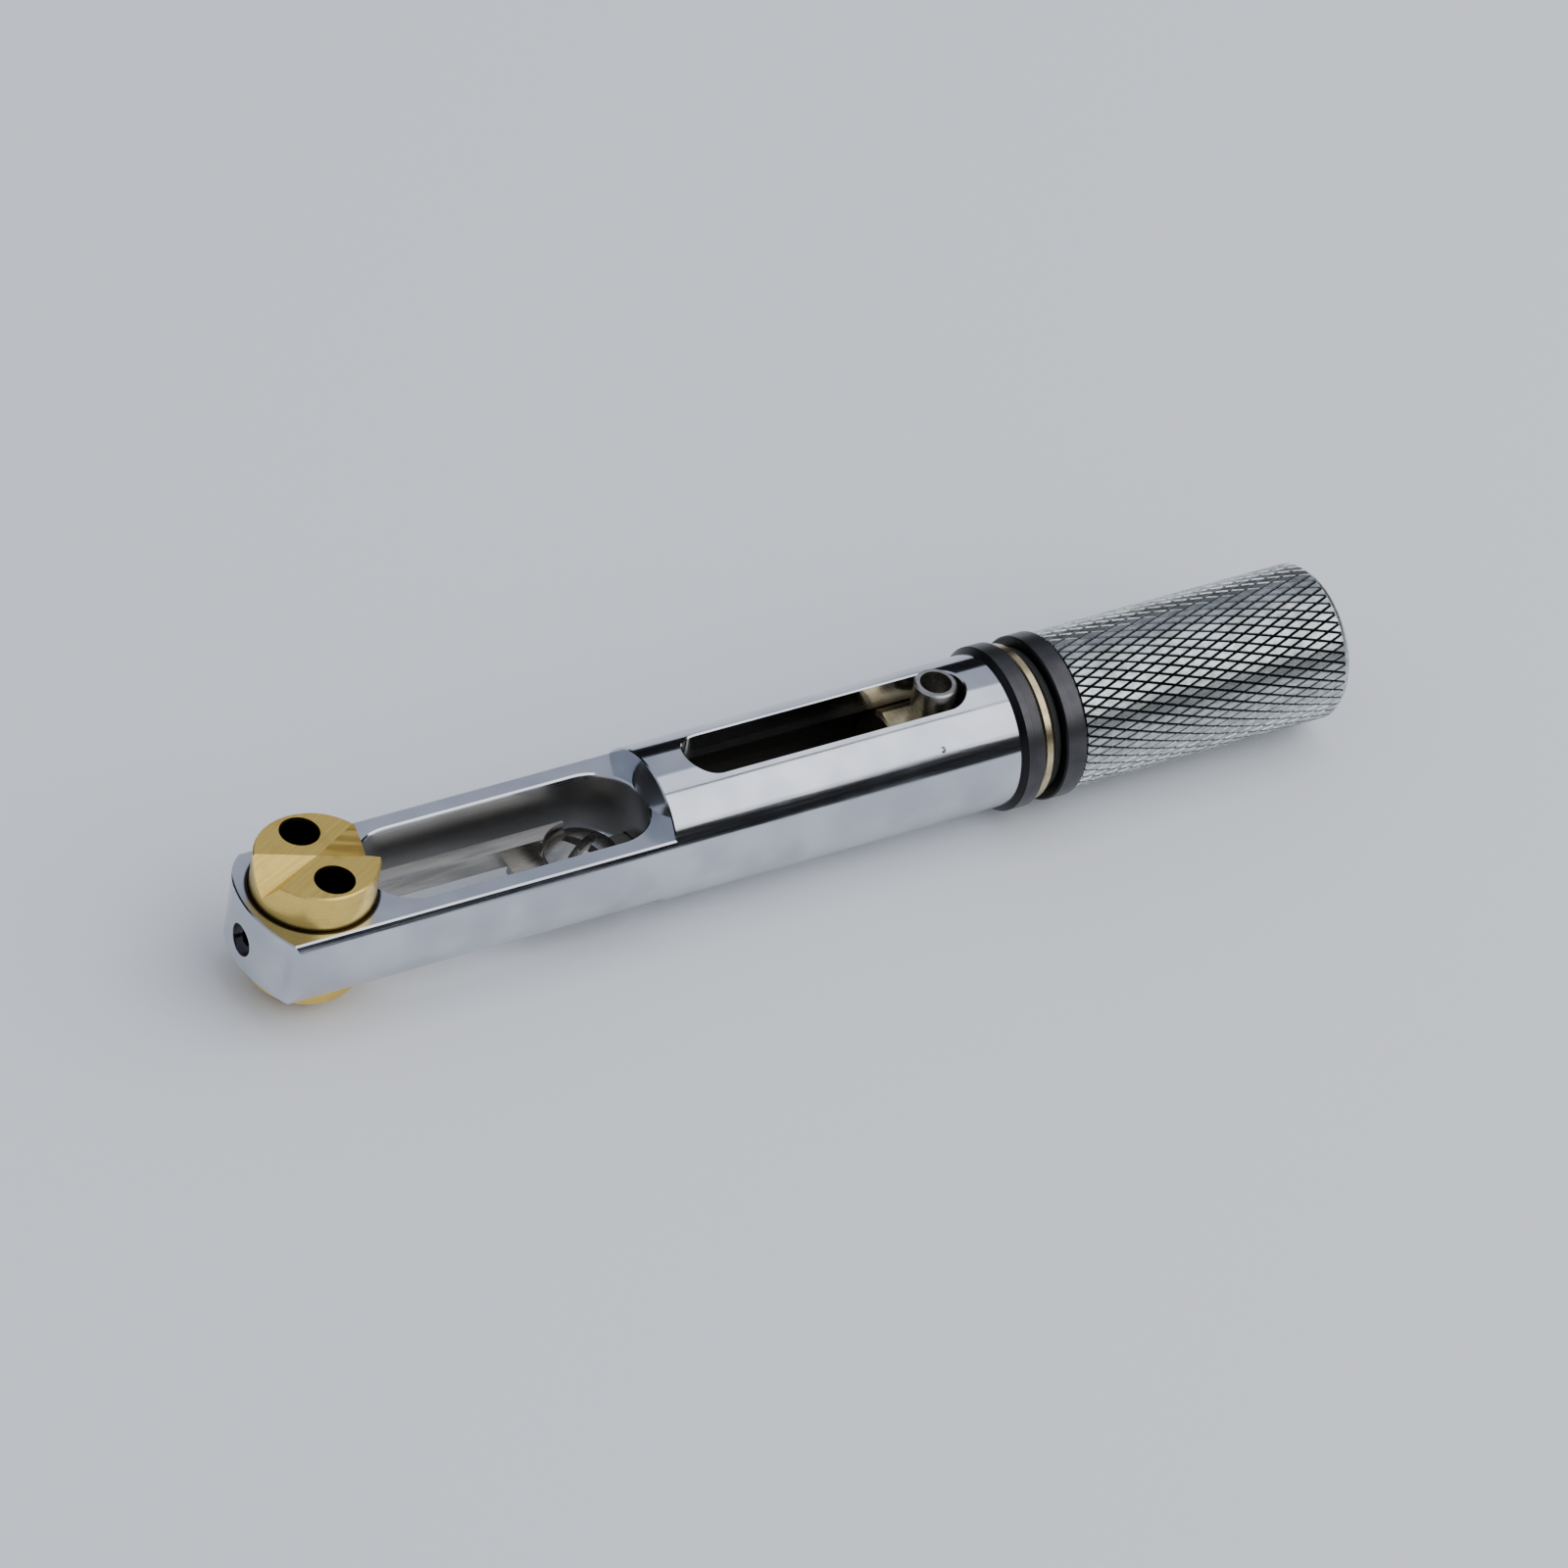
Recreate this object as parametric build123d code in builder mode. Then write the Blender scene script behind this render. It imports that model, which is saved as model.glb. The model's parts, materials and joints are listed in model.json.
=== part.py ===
"""Screw-operated rotating-head hand tool, sold as a spectroscope accessory.

A knurled handle turns a lead screw. The nut on it slides along the barrel, kept from
turning by a hollow guide pin in the barrel's slot, and pushes a link bar. The bar's
cross slot carries a crank pin, so the brass head turns about its upright axis.

Millimetres, +Z up. The origin is on the tool's long axis, half way along it. +X points
to the handle's end, and the head's axis is parallel to Z.
"""

import os
from math import cos, radians, sin, sqrt, tan

from build123d import *

os.makedirs("parts", exist_ok=True)

# ---------------------------------------------------------------- driving dimensions
LENGTH = 90.8  # nose to the end of the handle
NOSE_REACH = 5.4  # nose to the head's axis
HEAD_X = NOSE_REACH - LENGTH / 2

# stations along the tool
NOSE_X = HEAD_X - NOSE_REACH
SHOULDER_X = HEAD_X + 27.0  # where the flats end and the round barrel starts
BORE_X = HEAD_X + 28.3  # front end of the barrel's bore
BARREL_END_X = HEAD_X + 56.2
COLLAR_X = HEAD_X + 58.1  # rear face of the front collar
RING_X = HEAD_X + 59.2  # rear face of the brass ring
REAR_COLLAR_X = HEAD_X + 59.95
SLEEVE_X = HEAD_X + 61.7  # front end of the knurled sleeve
END_X = HEAD_X + LENGTH - NOSE_REACH

# body
BARREL_R = 5.79
FLAT_Z = 2.79  # half thickness across the flats
NOSE_R = 10.0
NOSE_CORNER_R = 2.0  # on the -Y side
NOSE_FAR_CORNER_R = 4.5  # on the +Y side, which is rounder
POCKET_R = 3.75
SHOULDER_NOTCH = 0.6  # height of the pocket's notch in the shoulder
POCKET_FRONT_X = HEAD_X + 7.8  # centre of the pocket's front end
POCKET_REAR_X = HEAD_X + 23.4  # centre of the pocket's rear end
BORE_R = 3.75
SLOT_W = 4.2
SLOT_FRONT_X = HEAD_X + 30.2
SLOT_REAR_X = HEAD_X + 53.6
SLOT_CUT_TOP = BARREL_R + 1.0
EDGE = 0.12  # broken edges of the milled openings
FLAT_EDGE = 0.1  # broken edges of the flats
NOSE_SWEEP = 60  # how far round the nose its edges are broken, each way
WINDOW_FRONT_X = HEAD_X + 2.0  # window between the head's bore and the pocket
WINDOW_REAR_X = HEAD_X + 9.6
WINDOW_GAP = 0.2  # clearance of the link bar in its window
PASSAGE_FRONT_X = BORE_X - 1.4  # broached passage for the drive strip
PASSAGE_REAR_X = BORE_X + 0.2
PASSAGE_GAP = 0.1

# head
HEAD_R = 4.58
HEAD_TOP = 5.9
HEAD_BOTTOM = -5.5  # low enough for the tool to stand on it and on the collars
HEAD_FOOT_R = 4.1  # where the head stands out under the lower flat
FOOT_BEVEL = 0.8  # slope round the foot's lower edge
RUNNING = 0.07  # radial clearance of the head in its bore
HEAD_BORE_R = HEAD_R + RUNNING
HEAD_HOLE_R = 1.5
HEAD_HOLE_SPACING = 5.4
HEAD_HOLE_DEPTH = 4.0
WAIST_R = 1.0
WAIST_BOTTOM = -1.85
WAIST_TOP = 0.95
NOTCH_WALLS = (157.0, 208.0)  # directions of a notch's two edges in the top face
NOTCH_VALLEY = 188.5  # direction of the notch's lowest line
NOTCH_DEEP = 2.07  # depth of the lowest line at the rim

# crank: the pin starts 50 degrees short of the middle of its swing
HALF_SWING = 50.0
CRANK_R = 2.6
CRANK_PIN_R = 0.5
CRANK_X = HEAD_X + CRANK_R * sin(radians(HALF_SWING))
CRANK_Y = CRANK_R * cos(radians(HALF_SWING))

# link bar, which runs beside the head's waist
LINK_NEAR_Y = 1.12
LINK_FAR_Y = 2.4
LINK_TOP = 0.0
LINK_BOTTOM = -1.75
YOKE_NEAR_Y = 1.3
YOKE_FAR_Y = 2.95
YOKE_REAR_X = HEAD_X + 4.4
YOKE_SLOT = 1.32  # pin, running clearance and the crank's small lost motion
YOKE_LIP = 0.45
YOKE_FLOOR = -1.3
YOKE_NECK = 0.6  # length of the slope behind the yoke
TAB_T = 0.5
TAB_R = 2.5

# link screw, M3 pan head with a cross recess
SCREW_X = HEAD_X + 22.1
SCREW_Y = -0.75
SCREW_HEAD_R = 2.8
SCREW_HEAD_H = 1.6
SCREW_R = 1.5
SCREW_HOLE_R = 1.6
SCREW_POINT = 0.2  # chamfer at the screw's tip
SCREW_HEAD_GAP = 0.15  # radial room round the screw's head
DOME_START = 0.45  # share of the head's height that is straight

# drive strip under the link bar and the nut
STRIP_T = 0.8
STRIP_HALF_W = 1.25
STRIP_FRONT_X = HEAD_X + 17.2
PAD_HALF_W = 2.4

# drive nut, guide pin and lead screw
NUT_FRONT_X = HEAD_X + 47.5
NUT_REAR_X = HEAD_X + 53.0
NUT_R = 3.65
NUT_TOP = 3.5
GUIDE_X = HEAD_X + 51.3
GUIDE_R = 1.6
GUIDE_BORE_R = 1.2
GUIDE_TOP = 6.25
GUIDE_FOOT = 2.2
THREAD_R = 1.25
THREAD_HOLE_R = 1.3

# rear bearing and handle
COLLAR_R = 6.25
RING_R = 5.95
JOURNAL_R = 2.4
BUSH_BORE_R = 2.45
BUSH_R = 3.2
RING_SEAT_R = 3.9
SPIGOT_R = 4.35
THRUST_X = HEAD_X + 54.1  # rear face of the spindle's flange
SPIGOT_X = HEAD_X + 54.5  # front end of the collar's spigot
SHANK_R = 2.0
HANDLE_R = 6.0
SLEEVE_BORE_R = 4.6
CORE_X = HEAD_X + 64.7
CORE_REAR_X = HEAD_X + 79.0
DOWEL_X = HEAD_X + 72.0
DOWEL_R = 0.75
WASHER_T = 0.6
LOCK_NUT_T = 2.4
LOCK_NUT_FLATS = 7.0
PLUG_X = HEAD_X + 82.6
PLUG_INSET = 0.25
PLUG_SLOT_W = 1.0
PLUG_SLOT_DEPTH = 0.9

# smaller sizes
STAKE_AT = (HEAD_X + 49.8, -4.38, 3.79)  # staking mark beside the slot
STAKE_R = 0.12
STAKE_DEPTH = 0.25
STAKE_TAPER = -25
NOSE_DRILL_X = NOSE_X - 1.0  # where the drill for the nose screw starts
NOSE_HOLE_R = 1.25
NOSE_SCREW_INSET = 0.45
NOSE_WALL = 1.0
DOG_R = 1.2
DOG_TIP_X = HEAD_X - 3.25
NOSE_SOCKET_R = 0.65
NOSE_SOCKET_DEPTH = 0.9
CRANK_PIN_FOOT = -1.2
CRANK_PIN_GRIP = 1.3
SCREW_TIP = -2.65
RECESS_SPAN = 3.4
RECESS_W = 0.8
RECESS_DEPTH = 0.9
RECESS_TURN = 30
RECESS_TAPER = 12
FOOT_REAR_X = HEAD_X + 25.2
FOOT_CORNER_R = 0.5
RIVET_XS = (HEAD_X + 48.9, HEAD_X + 51.7)
RIVET_Y = 1.75
RIVET_R = 0.5
RIVET_LENGTH = 1.6
GUIDE_BORE_DEPTH = 3.2
COLLAR_EASE = 0.45  # slope on the front collar's leading edge
RING_EDGE = 0.3
NUT_EDGE = 0.3
NUT_CUT = 4.0  # depth of the cutters that make the nut's flats
THREAD_POINT = 0.4
SHANK_POINT = 0.3
THREAD_TIP_X = HEAD_X + 46.4
FLANGE_R = 3.3
FLANGE_T = 0.7
SHANK_END_X = HEAD_X + 82.2
FRICTION_R = 5.5
FRICTION_GAP = 0.05
FRICTION_EDGE = 0.15
FLANGE_LIP = 0.2
DOWEL_INSET = 0.2
END_ROUND = 0.7  # rounding of the sleeve's free end
WASHER_R = 3.9
PLUG_EDGE = 0.2
NOTCH_OVER = 0.5  # how far the notch cutter stands above the head
NOTCH_REACH = 1.2 * HEAD_R
RIM_MIN_R = 2.0  # separates the head's rims from its holes


# ---------------------------------------------------------------- shared helpers
def half_profile(points):
    """A closed outline in the XZ plane, to be turned about the long axis."""
    with BuildSketch(Plane.XZ) as sketch:
        with BuildLine():
            Polyline(*points, close=True)
        make_face()
    return sketch.sketch


def ring_profile(x0, x1, r_in, r_out, edge=0.0):
    """Half section of a ring from x0 to x1 whose outer edges are broken by edge."""
    if edge == 0.0:
        return half_profile([(x0, r_in), (x0, r_out), (x1, r_out), (x1, r_in)])
    outer = [(x0, r_out - edge), (x0 + edge, r_out), (x1 - edge, r_out), (x1, r_out - edge)]
    return half_profile([(x0, r_in), *outer, (x1, r_in)])


def middle_of(low, high):
    """The point half way between two opposite corners of a box."""
    return tuple((a + b) / 2 for a, b in zip(low, high))


def size_of(low, high):
    """The three sizes of a box with these opposite corners."""
    return tuple(b - a for a, b in zip(low, high))


def on_pocket_rim(point):
    """Whether an edge's middle lies on the pocket's rim in either flat."""
    in_flat = abs(abs(point.Z) - FLAT_Z) < 1e-4 and HEAD_X < point.X < SHOULDER_X
    return in_flat and abs(point.Y) < POCKET_R + 1e-3 and point.X > HEAD_X + HEAD_R


def on_slot_rim(point):
    """Whether an edge's middle lies where the slot meets the round barrel."""
    on_barrel = abs(point.Y**2 + point.Z**2 - BARREL_R**2) < 0.02
    in_slot = SLOT_FRONT_X - 1e-3 < point.X < SLOT_REAR_X + 1e-3
    return on_barrel and in_slot and point.Z > 0 and abs(point.Y) < SLOT_W / 2 + 0.01


def on_flat_side(edge):
    """Whether an edge is the long straight side of one of the flats."""
    middle = edge @ 0.5
    in_flat = abs(abs(middle.Z) - FLAT_Z) < 1e-4 and middle.X < SHOULDER_X - 1.0
    return in_flat and edge.geom_type == GeomType.LINE and abs(middle.Y) > HEAD_BORE_R


def on_shoulder(edge):
    """Whether an edge is the round front edge of the barrel above or below the flats."""
    middle = edge @ 0.5
    return abs(middle.X - SHOULDER_X) < 1e-4 and abs(middle.Z) > BARREL_R - 1e-3


def on_head_rim(edge, level):
    """Whether an edge is the round outer edge of the head's face at this height."""
    at_level = abs(edge.center().Z - level) < 1e-4
    return at_level and edge.geom_type == GeomType.CIRCLE and edge.radius > RIM_MIN_R


def save(part, name):
    """Label one finished piece and write its STEP file."""
    part.part.label = name
    export_step(part.part, f"parts/{name}.step")


# ---------------------------------------------------------------- body
with BuildSketch() as nose_outline:
    with BuildLine():
        corner_x = NOSE_X + NOSE_R - sqrt(NOSE_R**2 - BARREL_R**2)
        front = ThreePointArc((corner_x, -BARREL_R), (NOSE_X, 0), (corner_x, BARREL_R))
        Polyline(front @ 1, (BARREL_END_X, BARREL_R), (BARREL_END_X, -BARREL_R), front @ 0)
    make_face()
    for side, radius in ((-1, NOSE_CORNER_R), (1, NOSE_FAR_CORNER_R)):
        corner = (corner_x, side * BARREL_R)
        fillet(nose_outline.vertices().sort_by_distance(corner)[0], radius)

pocket_length = POCKET_REAR_X - POCKET_FRONT_X + 2 * POCKET_R
pocket_mid_x = (POCKET_FRONT_X + POCKET_REAR_X) / 2
slot_length = SLOT_REAR_X - SLOT_FRONT_X
slot_mid_x = (SLOT_FRONT_X + SLOT_REAR_X) / 2
flat_length = SHOULDER_X - NOSE_X

with BuildPart() as body:
    with BuildSketch(Plane.YZ.offset(NOSE_X)):
        Circle(BARREL_R)
    extrude(amount=BARREL_END_X - NOSE_X)
    extrude(nose_outline.sketch, amount=BARREL_R, both=True, mode=Mode.INTERSECT)
    # the two flats
    for side in (1, -1):
        with Locations((NOSE_X + flat_length / 2, 0, side * (FLAT_Z + BARREL_R) / 2)):
            Box(flat_length, 2 * BARREL_R, BARREL_R - FLAT_Z, mode=Mode.SUBTRACT)
    # bore that the head turns in
    with BuildSketch(Plane.XY.offset(-BARREL_R)):
        with Locations((HEAD_X, 0)):
            Circle(HEAD_BORE_R)
    extrude(amount=2 * BARREL_R, mode=Mode.SUBTRACT)
    # pocket, milled right through, which just notches the shoulder's foot
    pocket_top = FLAT_Z + SHOULDER_NOTCH
    with BuildSketch(Plane.XY.offset(-pocket_top)):
        with Locations((pocket_mid_x, 0)):
            SlotOverall(pocket_length, 2 * POCKET_R)
    extrude(amount=2 * pocket_top, mode=Mode.SUBTRACT)
    # window between the bore and the pocket for the link bar
    window_low = (WINDOW_FRONT_X, LINK_NEAR_Y - WINDOW_GAP, LINK_BOTTOM - WINDOW_GAP / 2)
    window_high = (WINDOW_REAR_X, YOKE_FAR_Y + WINDOW_GAP, LINK_TOP + WINDOW_GAP)
    with Locations(middle_of(window_low, window_high)):
        Box(*size_of(window_low, window_high), mode=Mode.SUBTRACT)
    # barrel bore from the rear, and the seat of the front collar's spigot
    with BuildSketch(Plane.YZ.offset(BORE_X)):
        Circle(BORE_R)
    extrude(amount=BARREL_END_X - BORE_X, mode=Mode.SUBTRACT)
    with BuildSketch(Plane.YZ.offset(SPIGOT_X)):
        Circle(SPIGOT_R)
    extrude(amount=BARREL_END_X - SPIGOT_X, mode=Mode.SUBTRACT)
    # broached passage for the drive strip
    side, top = STRIP_HALF_W + PASSAGE_GAP, LINK_BOTTOM + PASSAGE_GAP
    passage_low = (PASSAGE_FRONT_X, -side, LINK_BOTTOM - STRIP_T - PASSAGE_GAP)
    passage_high = (PASSAGE_REAR_X, side, top)
    with Locations(middle_of(passage_low, passage_high)):
        Box(*size_of(passage_low, passage_high), mode=Mode.SUBTRACT)
    # slot for the guide pin
    with BuildSketch():
        with Locations((slot_mid_x, 0)):
            SlotOverall(slot_length, SLOT_W)
    extrude(amount=SLOT_CUT_TOP, mode=Mode.SUBTRACT)
    # tapped hole in the nose
    with BuildSketch(Plane.YZ.offset(NOSE_DRILL_X)):
        with Locations((0, (WAIST_TOP + WAIST_BOTTOM) / 2)):
            Circle(NOSE_HOLE_R)
    extrude(amount=NOSE_REACH, mode=Mode.SUBTRACT)
    # staking mark beside the slot
    mark = Plane(STAKE_AT, z_dir=(0, STAKE_AT[1], STAKE_AT[2]))
    with BuildSketch(mark.offset(-STAKE_DEPTH)):
        Circle(STAKE_R)
    extrude(amount=2 * STAKE_DEPTH, taper=STAKE_TAPER, mode=Mode.SUBTRACT)
    # broken edges of the flats' sides, the shoulder, the pocket above and below, and the slot
    chamfer([e for e in body.edges() if on_flat_side(e) or on_shoulder(e)], FLAT_EDGE)
    chamfer([e for e in body.edges() if on_pocket_rim(e @ 0.5)], EDGE)
    chamfer([e for e in body.edges() if on_slot_rim(e @ 0.5)], EDGE)
    # broken front edges of the flats, cut by rings about the nose's centre of curvature
    nose_axis = Axis((NOSE_X + NOSE_R, 0, 0), (0, 0, 1))
    for side, turn in ((1, NOSE_SWEEP), (1, -NOSE_SWEEP), (-1, NOSE_SWEEP), (-1, -NOSE_SWEEP)):
        with BuildSketch(Plane.XZ) as nose_edge:
            inner, low, high = NOSE_X + FLAT_EDGE, FLAT_Z - FLAT_EDGE, FLAT_Z + FLAT_EDGE
            outline = [(inner, high), (inner, FLAT_Z), (NOSE_X, low)]
            outline += [(NOSE_X - FLAT_EDGE, low), (NOSE_X - FLAT_EDGE, high)]
            Polygon(*[(x, side * z) for x, z in outline], align=None)
        revolve(nose_edge.sketch, axis=nose_axis, revolution_arc=turn, mode=Mode.SUBTRACT)
save(body, "body")

with BuildPart() as front_collar:
    flange = [(BARREL_END_X, BARREL_R), (BARREL_END_X + COLLAR_EASE, COLLAR_R)]
    flange += [(COLLAR_X - EDGE, COLLAR_R), (COLLAR_X, COLLAR_R - EDGE)]
    spigot = [(SPIGOT_X, SPIGOT_R), (BARREL_END_X, SPIGOT_R)]
    seat = [(COLLAR_X, RING_SEAT_R), (RING_X, RING_SEAT_R)]
    outline = [(SPIGOT_X, BUSH_R), *spigot, *flange, *seat, (RING_X, BUSH_R)]
    revolve(half_profile(outline), axis=Axis.X)
save(front_collar, "front_collar")

with BuildPart() as brass_ring:
    revolve(ring_profile(COLLAR_X, RING_X, RING_SEAT_R, RING_R, RING_EDGE), axis=Axis.X)
save(brass_ring, "brass_ring")

with BuildPart() as spindle_bush:
    revolve(ring_profile(SPIGOT_X, RING_X, BUSH_BORE_R, BUSH_R), axis=Axis.X)
save(spindle_bush, "spindle_bush")

with BuildPart() as nose_screw:
    screw_z = (WAIST_TOP + WAIST_BOTTOM) / 2
    with BuildSketch(Plane.YZ.offset(NOSE_X + NOSE_SCREW_INSET)):
        with Locations((0, screw_z)):
            Circle(NOSE_HOLE_R)
    extrude(amount=NOSE_WALL - NOSE_SCREW_INSET)
    with BuildSketch(Plane.YZ.offset(NOSE_X + NOSE_WALL)):
        with Locations((0, screw_z)):
            Circle(DOG_R)
    extrude(amount=DOG_TIP_X - NOSE_X - NOSE_WALL)
    # hexagon socket
    with BuildSketch(Plane.YZ.offset(NOSE_X + NOSE_SCREW_INSET)):
        with Locations((0, screw_z)):
            RegularPolygon(NOSE_SOCKET_R, 6)
    extrude(amount=NOSE_SOCKET_DEPTH, mode=Mode.SUBTRACT)
save(nose_screw, "nose_screw")

# ---------------------------------------------------------------- rotating head
def notch_cutter():
    """A wedge with its point at the head's centre: the cutter for one V-shaped notch."""
    valley = radians(NOTCH_VALLEY)
    deep = NOTCH_DEEP * NOTCH_REACH / HEAD_R
    rise = (deep + NOTCH_OVER) / deep
    out = Vector(cos(valley), sin(valley), 0)
    across = Vector(-out.Y, out.X, 0)
    start = Vector(HEAD_X, 0, HEAD_TOP) + out * NOTCH_REACH
    outline = [(0, -deep)]
    for wall in NOTCH_WALLS:
        outline.append((NOTCH_REACH * tan(radians(wall) - valley) * rise, NOTCH_OVER))
    with BuildSketch(Plane(start, x_dir=across, z_dir=out)) as end:
        Polygon(*outline, align=None)
    return Solid.make_loft([end.sketch.face().outer_wire(), Vertex(HEAD_X, 0, HEAD_TOP)])


with BuildPart() as head_rotor:
    for low, high, radius in (
        (HEAD_BOTTOM, -FLAT_Z, HEAD_FOOT_R),
        (-FLAT_Z, WAIST_BOTTOM, HEAD_R),
        (WAIST_BOTTOM, WAIST_TOP, WAIST_R),
        (WAIST_TOP, HEAD_TOP, HEAD_R),
    ):
        with BuildSketch(Plane.XY.offset(low)):
            with Locations((HEAD_X, 0)):
                Circle(radius)
        extrude(amount=high - low)
    # two blind holes in the top face
    with BuildSketch(Plane.XY.offset(HEAD_TOP)):
        with Locations((HEAD_X, -HEAD_HOLE_SPACING / 2), (HEAD_X, HEAD_HOLE_SPACING / 2)):
            Circle(HEAD_HOLE_R)
    extrude(amount=-HEAD_HOLE_DEPTH, mode=Mode.SUBTRACT)
    # hole that the crank pin is pressed into
    with BuildSketch(Plane.XY.offset(WAIST_TOP)):
        with Locations((CRANK_X, CRANK_Y)):
            Circle(CRANK_PIN_R)
    extrude(amount=CRANK_PIN_GRIP, mode=Mode.SUBTRACT)
    # broken edge of the top, and the foot's slope
    for level, size in ((HEAD_TOP, EDGE), (HEAD_BOTTOM, FOOT_BEVEL)):
        chamfer([e for e in head_rotor.edges() if on_head_rim(e, level)], size)
    # two notches, opposite each other
    cutter = notch_cutter()
    add(cutter, mode=Mode.SUBTRACT)
    add(cutter.rotate(Axis((HEAD_X, 0, 0), (0, 0, 1)), 180), mode=Mode.SUBTRACT)
save(head_rotor, "head_rotor")

with BuildPart() as crank_pin:
    with BuildSketch(Plane.XY.offset(CRANK_PIN_FOOT)):
        with Locations((CRANK_X, CRANK_Y)):
            Circle(CRANK_PIN_R)
    extrude(amount=WAIST_TOP + CRANK_PIN_GRIP - CRANK_PIN_FOOT)
save(crank_pin, "crank_pin")

# ---------------------------------------------------------------- sliding carriage
link_height = LINK_TOP - LINK_BOTTOM
yoke_front_x = CRANK_X - YOKE_SLOT / 2 - YOKE_LIP

with BuildPart() as link_bar:
    # rail, yoke and tab, seen from above
    with BuildSketch(Plane.XY.offset(LINK_BOTTOM)):
        with BuildLine():
            Polyline(
                (yoke_front_x, YOKE_NEAR_Y),
                (YOKE_REAR_X, YOKE_NEAR_Y),
                (YOKE_REAR_X, LINK_NEAR_Y),
                (SCREW_X, LINK_NEAR_Y),
                (SCREW_X, LINK_FAR_Y),
                (YOKE_REAR_X, LINK_FAR_Y),
                (YOKE_REAR_X - YOKE_NECK, YOKE_FAR_Y),
                (yoke_front_x, YOKE_FAR_Y),
                close=True,
            )
        make_face()
    extrude(amount=link_height)
    # room for the screw's head, and the tab that it clamps
    with BuildSketch(Plane.XY.offset(LINK_BOTTOM + TAB_T)):
        with Locations((SCREW_X, SCREW_Y)):
            Circle(SCREW_HEAD_R + SCREW_HEAD_GAP)
    extrude(amount=link_height, mode=Mode.SUBTRACT)
    with BuildSketch(Plane.XY.offset(LINK_BOTTOM)):
        with Locations((SCREW_X, SCREW_Y)):
            Circle(TAB_R)
        with Locations((SCREW_X, (LINK_NEAR_Y + SCREW_Y) / 2)):
            Rectangle(2 * TAB_R, LINK_NEAR_Y - SCREW_Y)
    extrude(amount=TAB_T)
    with BuildSketch(Plane.XY.offset(LINK_BOTTOM)):
        with Locations((SCREW_X, SCREW_Y)):
            Circle(SCREW_HOLE_R)
    extrude(amount=TAB_T, mode=Mode.SUBTRACT)
    # cross slot for the crank pin
    with Locations((CRANK_X, (YOKE_NEAR_Y + YOKE_FAR_Y) / 2, (YOKE_FLOOR + LINK_TOP) / 2)):
        Box(YOKE_SLOT, YOKE_FAR_Y, LINK_TOP - YOKE_FLOOR, mode=Mode.SUBTRACT)
save(link_bar, "link_bar")

with BuildPart() as link_screw:
    with BuildSketch(Plane.XZ.offset(-SCREW_Y)):
        with BuildLine():
            under = LINK_BOTTOM + TAB_T
            top = under + SCREW_HEAD_H
            brim = (SCREW_X + SCREW_HEAD_R, under + SCREW_HEAD_H * DOME_START)
            Polyline(
                (SCREW_X, top),
                (SCREW_X, SCREW_TIP),
                (SCREW_X + SCREW_R - SCREW_POINT, SCREW_TIP),
                (SCREW_X + SCREW_R, SCREW_TIP + SCREW_POINT),
                (SCREW_X + SCREW_R, under),
                (SCREW_X + SCREW_HEAD_R, under),
                brim,
            )
            TangentArc((SCREW_X, top), brim, tangent=(1, 0))
        make_face()
    revolve(axis=Axis((SCREW_X, SCREW_Y, 0), (0, 0, 1)))
    # cross recess
    with BuildSketch(Plane.XY.offset(top)):
        with Locations((SCREW_X, SCREW_Y)):
            Rectangle(RECESS_SPAN, RECESS_W, rotation=RECESS_TURN)
            Rectangle(RECESS_W, RECESS_SPAN, rotation=RECESS_TURN)
    extrude(amount=-RECESS_DEPTH, taper=RECESS_TAPER, mode=Mode.SUBTRACT)
save(link_screw, "link_screw")

with BuildPart() as drive_strip:
    strip_z = LINK_BOTTOM - STRIP_T
    with BuildSketch(Plane.XY.offset(strip_z)):
        with Locations(((STRIP_FRONT_X + NUT_REAR_X) / 2, 0)):
            Rectangle(NUT_REAR_X - STRIP_FRONT_X, 2 * STRIP_HALF_W)
        # foot under the link screw, and pad under the nut
        with Locations(((STRIP_FRONT_X + FOOT_REAR_X) / 2, SCREW_Y)):
            RectangleRounded(FOOT_REAR_X - STRIP_FRONT_X, 2 * PAD_HALF_W, FOOT_CORNER_R)
        with Locations(((NUT_FRONT_X + NUT_REAR_X) / 2, 0)):
            Rectangle(NUT_REAR_X - NUT_FRONT_X, 2 * PAD_HALF_W)
    extrude(amount=STRIP_T)
    with BuildSketch(Plane.XY.offset(strip_z)):
        with Locations((SCREW_X, SCREW_Y)):
            Circle(SCREW_R)
        with Locations(*[(x, y) for x in RIVET_XS for y in (-RIVET_Y, RIVET_Y)]):
            Circle(RIVET_R)
    extrude(amount=STRIP_T, mode=Mode.SUBTRACT)
save(drive_strip, "drive_strip")

with BuildPart() as strip_rivets:
    with BuildSketch(Plane.XY.offset(strip_z)):
        with Locations(*[(x, y) for x in RIVET_XS for y in (-RIVET_Y, RIVET_Y)]):
            Circle(RIVET_R)
    extrude(amount=RIVET_LENGTH)
save(strip_rivets, "strip_rivets")

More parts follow.
